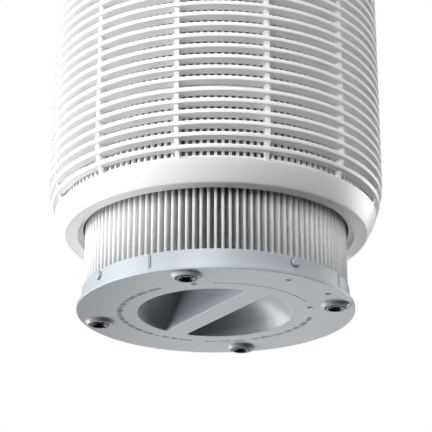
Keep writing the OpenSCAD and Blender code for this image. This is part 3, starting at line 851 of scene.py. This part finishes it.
@dataclass
class BaseCover:
    """The grey cover: flange, rim, grip bowl with its bar, locking pins and feet."""

    shop: Workshop
    lift: float
    flange_r: float = 89.6
    flange_t: float = 2.5
    rim_r: float = 86.4
    rim_top: float = 13.6
    bowl_r: float = 50.5
    bowl_depth: float = 25.0
    bar_w: float = 15.6
    bar_turn: float = 31.8
    end_run: float = 1.2
    bowl_wall: float = 2.4
    mouth_corner: float = 3.4
    mouth_edge: float = 0.6
    pin_turn: float = 33.5
    pin_z: float = 9.6
    pin_r: float = 2.4
    foot_turn: float = -13.0
    foot_ring: float = 78.0
    foot_h: float = 2.6
    steps: int = 192
    rings: int = 14
    mark_r: float = 61.8
    mark_seed: int = 5
    grooves: list = field(default_factory=list)

    @property
    def ball_r(self) -> float:
        """Radius of the ball that the bowl follows."""
        return (self.bowl_r ** 2 + self.bowl_depth ** 2) / (2 * self.bowl_depth)

    def spread(self, height: float) -> float:
        """Radius of the bowl at a height above the cover's bottom face."""
        drop = height + self.ball_r - self.bowl_depth
        return math.sqrt(max(0.0, self.ball_r ** 2 - drop ** 2))

    def scoop(self) -> BMesh:
        """One finger scoop: its mouth's edge drawn in, ring by ring, from the flat face to its deepest point.

        Returns:
            The mesh, drawn with the bar along Y and the scoop on the +X side.
        """
        half = self.bar_w / 2
        mesh = bmesh.new()
        bmesh.ops.create_circle(mesh, cap_ends=False, segments=96, radius=self.bowl_r)
        bmesh.ops.bisect_plane(mesh, geom=mesh.verts[:] + mesh.edges[:], plane_co=(half, 0, 0),
                               plane_no=(1, 0, 0), clear_inner=True, dist=1e-4)
        ends = [v for v in mesh.verts if len(v.link_edges) == 1]
        mesh.edges.new(ends)
        bevel(mesh, ends, self.mouth_corner, 6, "VERTICES", clamp=False)
        chord = max(mesh.edges, key=lambda e: e.calc_length())
        bmesh.ops.subdivide_edges(mesh, edges=[chord], cuts=19)
        deepest = math.sqrt(self.ball_r ** 2 - half ** 2) - (self.ball_r - self.bowl_depth)
        chord_0 = math.sqrt(self.bowl_r ** 2 - half ** 2)
        sag_0 = self.bowl_r - half
        last = Matrix()
        edges = mesh.edges[:]
        for k in range(1, self.rings + 1):
            share = math.sin(math.pi / 2 * k / (self.rings + 0.6))
            height = deepest * share
            lean = 1.2 * share + 3.8 * (1 - math.sqrt(1 - share ** 3))
            along = 1.0 - self.end_run * height / chord_0
            out = max(0.02, (self.spread(height) - half - lean) / sag_0)
            fit = (Matrix.Translation((half + lean, 0, height)) @ Matrix.Diagonal((out, along, 1, 1))
                   @ Matrix.Translation((-half, 0, 0)))
            grown = bmesh.ops.extrude_edge_only(mesh, edges=edges)["geom"]
            bmesh.ops.transform(mesh, matrix=fit @ last.inverted(), verts=only(BMVert, grown))
            edges = only(BMEdge, grown)
            last = fit
        bmesh.ops.contextual_create(mesh, geom=edges)
        return mesh

    def hull(self) -> BMesh:
        """The cover in one closed skin: spun flange, rim and inside, and the flat face round both scoops."""
        ball_z = self.bowl_depth - self.ball_r
        dome_r = self.ball_r + self.bowl_wall
        wall_in, step_out, collar = 84.2, 51.95, 49.35
        ledge, crest = 14.0, 15.5
        pen = Outline(self.flange_r - 1.0, 0.0)
        pen.line(self.flange_r, 0.0, soft=0.4).line(self.flange_r, self.flange_t, soft=0.3)
        pen.line(self.rim_r + 0.7, self.flange_t, soft=0.3).line(self.rim_r, self.flange_t + 0.8, soft=0.4)
        pen.line(self.rim_r, self.rim_top, soft=0.5).line(wall_in, self.rim_top, soft=0.5)
        pen.line(wall_in, self.flange_t).line(step_out, self.flange_t).line(step_out, ledge)
        pen.line(53.35, ledge).line(52.85, crest).line(collar, crest)
        foot_z = ball_z + math.sqrt(dome_r ** 2 - collar ** 2)
        pen.line(collar, foot_z)
        pen.arc(0.0, ball_z, 90.0 - math.degrees(math.atan2(foot_z - ball_z, collar)), 24)
        mesh = pen.spun(self.steps, segments=4)
        scoop = self.scoop()
        turn = Matrix.Rotation(FRONT + math.radians(self.bar_turn + 90.0), 4, "Z")
        add_copy(mesh, scoop, turn)
        add_copy(mesh, scoop, turn @ Matrix.Rotation(math.pi, 4, "Z"))
        scoop.free()
        open_edges = [e for e in mesh.edges if len(e.link_faces) == 1]
        bmesh.ops.triangle_fill(mesh, use_beauty=True, use_dissolve=False, edges=open_edges,
                                normal=(0, 0, -1))
        weld(mesh, 1e-3)
        level = 1e-3
        mouth = [e for e in mesh.edges if len(e.link_faces) == 2
                 and all(abs(v.co.z) < level and v.co.xy.length < self.bowl_r + 1 for v in e.verts)
                 and e.calc_face_angle(0.0) > math.radians(15)]
        bevel(mesh, mouth, self.mouth_edge, 4, clamp=False)
        self.cut_marks(mesh)
        return mesh

    def cut_marks(self, mesh: BMesh) -> None:
        """Sinks the four thin upright marks into the rim and notes where each one's floor is."""
        for k in range(4):
            turn = FRONT + math.radians(self.pin_turn - 61.0 + 90.0 * k)
            aim = Vector((math.cos(turn), math.sin(turn)))
            side = [f for f in mesh.faces if abs(f.normal.z) < 0.05 and f.calc_area() > 8.0
                    and f.calc_center_median().xy.length > self.rim_r - 0.2
                    and 4.0 < f.calc_center_median().z < self.rim_top]
            if side:
                face = max(side, key=lambda f: f.calc_center_median().xy.normalized().dot(aim))
                bmesh.ops.inset_individual(mesh, faces=[face], thickness=0.75, depth=-0.75)
                self.grooves.append(face.calc_center_median())

    def boss(self) -> BMesh:
        """One foot's boss: a cone with a rounded ring, hollowed for the pad."""
        rim_z = -self.foot_h + 0.4
        pen = Outline(10.2, 0.25).line(9.3, -0.15, soft=0.3).line(8.1, rim_z, soft=0.7)
        pen.line(6.75, rim_z, soft=0.4).line(6.65, 1.5).line(0.0, 1.5)
        return pen.spun(48, segments=4)

    def at_pin(self) -> Matrix:
        """Lays a mesh drawn along +Z out along +X, on the rim at the pins' height."""
        return Matrix.Translation((self.rim_r, 0, self.pin_z)) @ Matrix.Rotation(math.pi / 2, 4, "Y")

    def pin(self) -> BMesh:
        """One locking pin, pointing out along +X."""
        pen = Outline(self.pin_r, -0.9).line(self.pin_r, 1.9, soft=0.75)
        mesh = pen.line(0.0, 1.9).spun(40, segments=5)
        bmesh.ops.transform(mesh, matrix=self.at_pin(), verts=mesh.verts)
        return mesh

    def build(self) -> None:
        """Makes the cover, the bosses with the pins, the pads, the printed marks and the painted shade round
        the pins and in the upright marks.
        """
        self.shop.piece("cover_hull", self.hull(), Body.COVER, Finish.COVER, self.lift, ["base_cover"],
                        smooth=50.0)
        fittings = bmesh.new()
        boss = self.boss()
        bmesh.ops.translate(boss, verts=boss.verts, vec=(self.foot_ring, 0, 0))
        lathe_row(fittings, boss, 4, self.foot_turn)
        lathe_row(fittings, self.pin(), 4, self.pin_turn)
        self.shop.piece("cover_bosses", fittings, Body.COVER, Finish.COVER, self.lift, smooth=50.0,
                        weighted=False)
        for k in range(4):
            pen = Outline(3.3, -1.2).line(4.3, -1.35, soft=0.5).line(5.0, -self.foot_h, soft=0.35)
            pen.line(6.4, -self.foot_h, soft=0.4).line(6.5, 1.5).line(3.3, 1.5).close(soft=0.3)
            pad = pen.spun(48, segments=4)
            place = turn_about_column(self.foot_turn + 90 * k) @ Matrix.Translation((self.foot_ring, 0, 0))
            bmesh.ops.transform(pad, matrix=place, verts=pad.verts)
            self.shop.piece(f"foot_rubber_{k + 1}", pad, Body.COVER, Finish.PAD, self.lift,
                            [f"foot_pad_{k + 1}"])
        self.marks()

    def strip(self, radius: float, width: float, degrees: float) -> BMesh:
        """A thin printed arc, starting at +X, on the cover's bottom face."""
        proud = 0.04
        mesh = bmesh.new()
        corners = [mesh.verts.new((radius + dr, 0, dz)) for dr, dz in
                   ((-width / 2, -proud), (width / 2, -proud), (width / 2, proud), (-width / 2, proud))]
        face = mesh.faces.new(corners)
        bmesh.ops.spin(mesh, geom=[face], cent=(0, 0, 0), axis=(0, 0, 1), angle=math.radians(degrees),
                       steps=max(1, round(abs(degrees) / 1.5)))
        bmesh.ops.recalc_face_normals(mesh, faces=mesh.faces)
        return mesh

    def padlock(self, gap: float) -> BMesh:
        """A small padlock sign, drawn round the origin; gap lifts its shackle."""
        mesh = bmesh.new()
        add_copy(mesh, block((2.6, 3.2, 0.08), (-0.9, 0, 0)))
        hoop = self.strip(1.05, 0.45, 180.0)
        add_copy(mesh, hoop, Matrix.Translation((0.5 + gap, 0, 0)) @ Matrix.Rotation(-math.pi / 2, 4, "Z"))
        return mesh

    def dashes(self, first: float, last: float, chance: random.Random) -> BMesh:
        """A row of short printed ticks in uneven groups, from one turn to another."""
        mesh = bmesh.new()
        turn = first
        while turn < last:
            for _ in range(chance.randint(3, 8)):
                width = chance.uniform(0.4, 0.75)
                tick = self.strip(self.mark_r + chance.uniform(-0.4, 0.4), chance.uniform(2.4, 3.8), width)
                add_copy(mesh, tick, turn_about_column(turn))
                tick.free()
                turn += width + chance.uniform(0.45, 0.75)
            turn += 1.5
        return mesh

    def painted_shade_marks(self) -> BMesh:
        """Paints shade in dark ink: a ring in the gap round each locking pin and a stripe on the floor of
        each upright mark.
        """
        mesh = bmesh.new()
        # Painted shade: a dark ring just round each pin, where its gap would be in shadow.
        gap = Outline(self.pin_r + 0.02, -0.02).line(self.pin_r + 0.55, -0.02).line(self.pin_r + 0.55, 0.06)
        gap = gap.line(self.pin_r + 0.02, 0.06).close().spun(40)
        bmesh.ops.transform(gap, matrix=self.at_pin(), verts=gap.verts)
        lathe_row(mesh, gap, 4, self.pin_turn)
        for spot in self.grooves:
            # Painted shade: a dark stripe on the floor of each upright mark.
            groove_shade = block((0.1, 0.7, self.rim_top - self.flange_t - 3.6), (spot.xy.length, 0, spot.z))
            add_copy(mesh, groove_shade, Matrix.Rotation(math.atan2(spot.y, spot.x), 4, "Z"))
        return mesh

    def marks(self) -> None:
        """Prints the turning arrow, the signs at its ends and by the edge, and the rows of ticks, and adds
        the painted shade round the pins and in the upright marks.
        """
        print_and_shade = self.painted_shade_marks()
        add_copy(print_and_shade, self.strip(self.mark_r, 0.6, 65.0), turn_about_column(1.0))
        head = bmesh.new()
        bmesh.ops.create_cone(head, cap_ends=True, segments=3, radius1=1.9, radius2=1.9, depth=0.08)
        at_head = turn_about_column(-0.2) @ Matrix.Translation((self.mark_r, 0, 0))
        slim = Matrix.Diagonal((0.62, 1.0, 1.0, 1.0))
        add_copy(print_and_shade, head, at_head @ slim @ Matrix.Rotation(math.pi / 2, 4, "Z"))
        for turn, radius, gap in ((-12.5, self.mark_r, 0.9), (77.5, self.mark_r, 0.0), (33.2, 81.3, 0.9),
                                  (59.9, 81.3, 0.0)):
            add_copy(print_and_shade, self.padlock(gap), turn_about_column(turn) @ Matrix.Translation((radius, 0, 0)))
        chance = random.Random(self.mark_seed)
        for first, last in ((-165.0, -31.0), (97.0, 157.0), (162.0, 187.0)):
            add_copy(print_and_shade, self.dashes(first, last, chance))
        # The print and the painted shade share one dark material.
        self.shop.piece("cover_marks_and_shade", print_and_shade, Body.COVER, Finish.DARK, self.lift, weighted=False,
                        finish=MouldedPlastic("printed_ink_and_shade", (0.05, 0.055, 0.062, 1), rough=0.5, spread=0.15))


# ---- studio


# name, degrees round from the front towards +X, degrees above the horizon, size in metres, level
LAMPS = (
    ("side", -80, 0, (1.2, 0.9), 1.0),
    ("front", -10, 10, (1.0, 1.0), 0.7),
    ("under", -125, -30, (1.2, 0.9), 0.8),
    ("below", 170, -30, (1.0, 1.0), 0.2),
    ("edge", 120, 0, (1.2, 0.9), 0.8),
    ("top", 0, 60, (1.2, 1.2), 0.6),
)


@dataclass
class Studio:
    """Floor, soft lights and camera."""

    cover_bottom: float
    camera_x: float = 0.18
    camera_y: float = -986.0
    camera_z: float = -312.63
    pitch_up: float = 21.08
    lens: float = 133.57
    world: float = 0.03
    world_low: float = 0.01
    lamp_reach: float = 1.9
    lamp_aim: float = 0.1

    def floor(self) -> None:
        """A pale floor under the feet, seen from above and clear from below; it throws no light or shade."""
        mesh = bmesh.new()
        bmesh.ops.create_grid(mesh, x_segments=1, y_segments=1, size=6.0)
        data = bpy.data.meshes.new("studio_floor")
        mesh.to_mesh(data)
        mesh.free()
        recipe = Recipe("pale_floor")
        recipe.set(Base_Color=(0.38, 0.38, 0.39, 1), Roughness=0.8, Emission_Color=(1, 1, 1, 1),
                   Emission_Strength=0.55)
        clear = recipe.node("ShaderNodeBsdfTransparent")
        under = recipe.node("ShaderNodeNewGeometry", output="Backfacing")
        solid = Signal(recipe, recipe.shader.outputs[0])
        mixed = recipe.node("ShaderNodeMixShader", {}, {0: under, 1: solid, 2: clear})
        recipe.plug(recipe.output.inputs["Surface"], mixed)
        data.materials.append(recipe.material)
        made = bpy.data.objects.new("studio_floor", data)
        bpy.context.scene.collection.objects.link(made)
        made.visible_diffuse = made.visible_glossy = made.visible_shadow = made.visible_transmission = False

    def lamp(self, name: str, turn: float, rise: float, size: Sequence[float], level: float) -> None:
        """One rectangular soft light.

        Args:
            name: the lamp's name.
            turn: degrees round the column, from the front towards +X.
            rise: degrees above the horizon.
            size: width and height in metres.
            level: how bright a white card facing it comes out.
        """
        aim = Vector((0.0, 0.0, self.lamp_aim))
        turn, rise = math.radians(turn), math.radians(rise)
        flat = math.cos(rise)
        toward = Vector((math.sin(turn) * flat, -math.cos(turn) * flat, math.sin(rise)))
        place = aim + self.lamp_reach * toward
        data = bpy.data.lights.new(name, "AREA")
        data.shape = "RECTANGLE"
        data.size, data.size_y = size
        data.energy = level * (math.pi * self.lamp_reach) ** 2
        made = bpy.data.objects.new(name, data)
        made.location = place
        made.rotation_euler = (aim - place).to_track_quat("-Z", "Y").to_euler()
        bpy.context.scene.collection.objects.link(made)

    def camera(self) -> None:
        """The camera, low in front of the column and tilted up at it."""
        scene = bpy.context.scene
        data = bpy.data.cameras.new("view")
        data.lens = self.lens
        data.sensor_width = 36.0
        data.clip_end = 20.0
        camera = bpy.data.objects.new("view", data)
        camera.location = (self.camera_x * MM, self.camera_y * MM, (self.camera_z + self.cover_bottom) * MM)
        camera.rotation_euler = (math.radians(90.0 + self.pitch_up), 0.0, 0.0)
        scene.collection.objects.link(camera)
        scene.camera = camera

    def air(self) -> None:
        """Surroundings that look white to the camera but light the object dimly, most from above."""
        scene = bpy.context.scene
        world = bpy.data.worlds.new("studio_air")
        world.use_nodes = True
        tree = world.node_tree
        tree.nodes.clear()
        out, seen, felt, mix, path, where, parts, rise = [tree.nodes.new(f"ShaderNode{kind}") for kind in (
            "OutputWorld", "Background", "Background", "MixShader", "LightPath", "TexCoord", "SeparateXYZ",
            "MapRange")]
        seen.inputs[0].default_value = (1, 1, 1, 1)
        seen.inputs[1].default_value = 1.0
        felt.inputs[0].default_value = (0.97, 0.985, 1.0, 1)
        rise.interpolation_type = "SMOOTHSTEP"
        limits = {"From Min": -0.35, "From Max": 0.6, "To Min": self.world_low, "To Max": self.world}
        for key, value in limits.items():
            rise.inputs[key].default_value = value
        for start, end in ((where.outputs["Generated"], parts.inputs[0]),
                           (parts.outputs[2], rise.inputs["Value"]), (rise.outputs[0], felt.inputs[1]),
                           (path.outputs["Is Camera Ray"], mix.inputs[0]),
                           (felt.outputs[0], mix.inputs[1]), (seen.outputs[0], mix.inputs[2]),
                           (mix.outputs[0], out.inputs[0])):
            tree.links.new(start, end)
        scene.world = world
        scene.view_settings.view_transform = "Standard"
        scene.view_settings.look = "None"

    def build(self) -> None:
        """Sets the camera, the surroundings, the lights and the floor."""
        self.camera()
        self.air()
        for lamp in LAMPS:
            self.lamp(*lamp)
        self.floor()


# ---- assembly


CAP_ABOVE_COVER = 9.4
CARRIED = {
    Finish.SHELL: ("upper_shell", "outlet_grille", "control_pod"),
    Finish.SCREEN: ("bayonet_ring",),
    Finish.INNER: ("fan_deck", "inlet_guard", "fan_duct", "guide_vanes", "electronics_drum", "bay_lid",
                   "core_cage", "top_cap", "bottom_cap"),
    Finish.STEEL: ("duct_screws", "motor_can", "motor_bearings", "motor_screws", "motor_shaft", "motor_rotor",
                   "impeller_nut", "board_screws", "foot_screws"),
    Finish.STATOR: ("motor_stator",),
    Finish.FAN: ("impeller",),
    Finish.BOARD: ("main_board", "control_board"),
    Finish.DARK: ("board_parts", "sensor_module", "power_inlet", "key_switches"),
    Finish.CONTACT: ("inlet_pin",),
    Finish.LENS: ("display_lens",),
    Finish.LIGHT: ("light_ring",),
    Finish.KEY: ("power_key", "speed_key", "mode_key"),
    Finish.CARBON: ("carbon_sleeve",),
    Finish.GASKET: ("top_gasket",),
}


def main() -> None:
    """Builds the appliance round the frame, sub-assembly by sub-assembly."""
    logging.basicConfig(level=logging.INFO, format="%(name)s: %(message)s")
    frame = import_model()
    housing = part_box("intake_shell")[0][2] / MM
    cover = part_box("bottom_cap")[0][2] / MM - CAP_ABOVE_COVER
    shop = Workshop(Paints())
    Studio(cover).build()
    for slot, nodes in CARRIED.items():
        for node in nodes:
            shop.dress(frame, node, slot)
    IntakeHousing(shop, housing).build()
    PrefilterScreen(shop, housing).build()
    FilterCartridge(shop, cover).build()
    BaseCover(shop, cover).build()


if __name__ == "__main__":
    main()
